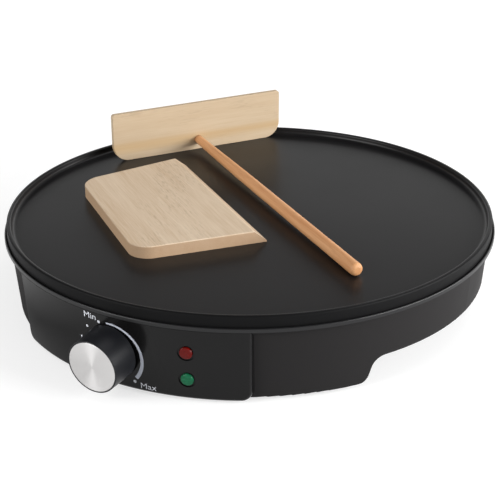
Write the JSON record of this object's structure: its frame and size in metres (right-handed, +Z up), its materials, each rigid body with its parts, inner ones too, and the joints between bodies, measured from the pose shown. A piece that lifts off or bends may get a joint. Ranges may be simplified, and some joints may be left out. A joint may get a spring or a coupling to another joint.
{
  "type": "electric crepe maker",
  "caption": "Round countertop electric crepe maker: lipped non-stick plate on a black housing with a knob and lamps, with a wooden T-spreader and a spatula lying on it.",
  "frame": {"origin": "on the table, on the axis of the round plate", "axes": "+Z up, away from the table; -Y towards the control panel and the user; +X to the user's right; +Y towards the cord inlet at the rear"},
  "size_m": [0.376, 0.3984, 0.1041],
  "materials": {
    "plate_coating": "satin black non-stick coating on cast aluminium",
    "black_plastic": "fine satin moulding",
    "panel_plastic": "semi-gloss moulding with a light grey printed dial",
    "knob_plastic": "satin moulding",
    "spun_aluminium": "spun, radially brushed face",
    "red_lens": "clear red",
    "green_lens": "clear green",
    "lamp_plastic": "natural nylon",
    "thermostat_plastic": "phenolic",
    "stainless": "drawn tube",
    "zinc_steel": "zinc plated",
    "aluminised_steel": "aluminised sheet",
    "copper": "drawn copper",
    "brass": "plain",
    "ceramic": "unglazed steatite",
    "nylon": "natural nylon",
    "wire_insulation": "silicone insulation",
    "foot_rubber": "matt",
    "blade_wood": "sanded pale beech",
    "handle_wood": "sanded beech",
    "spatula_wood": "sanded pale wood"
  },
  "bodies": {
    "base": {"hot_plate": "plate_coating", "heating_element": "stainless", "element_insulators": "ceramic", "element_tabs": "stainless", "element_clamps": "zinc_steel", "clamp_screws": "zinc_steel", "earth_tag": "brass", "heat_shield": "aluminised_steel", "plate_screws": "zinc_steel", "plate_washers": "zinc_steel", "base_housing": "black_plastic", "control_panel": "panel_plastic", "panel_screws": "zinc_steel", "thermostat_body": "thermostat_plastic", "thermostat_screws": "zinc_steel", "capillary_tube": "copper", "sensor_bulb": "copper", "bulb_clip": "zinc_steel", "lamp_lens_red": "red_lens", "lamp_lens_green": "green_lens", "lamp_bodies": "lamp_plastic", "lamp_nuts": "zinc_steel", "control_box_cover": "black_plastic", "cover_screws": "zinc_steel", "cord_gland": "black_plastic", "gland_nut": "black_plastic", "terminal_block": "nylon", "terminal_screws": "brass", "thermal_fuse": "zinc_steel", "fuse_clip": "zinc_steel", "wires": "wire_insulation", "rubber_feet": "foot_rubber", "foot_screws": "zinc_steel"},
    "knob_assembly": {"thermostat_shaft": "zinc_steel", "knob": "knob_plastic", "knob_disc": "spun_aluminium", "knob_spring_clip": "zinc_steel"},
    "spreader": {"spreader_blade": "blade_wood", "spreader_handle": "handle_wood"},
    "spatula_tool": {"spatula": "spatula_wood"}
  },
  "joints": [
    {"name": "knob_turn", "type": "hinge", "parent": "base", "child": "knob_assembly", "pos_m": [0, -0.18621, 0.029], "axis": [0, 0.9978, 0.0667], "range_deg": [0, 266]},
    {"name": "spreader_lift", "type": "slide", "parent": "base", "child": "spreader", "axis": [0, 0, 1], "range_m": [0, 0.3]},
    {"name": "spatula_lift", "type": "slide", "parent": "base", "child": "spatula_tool", "axis": [0, 0, 1], "range_m": [0, 0.3]}
  ]
}
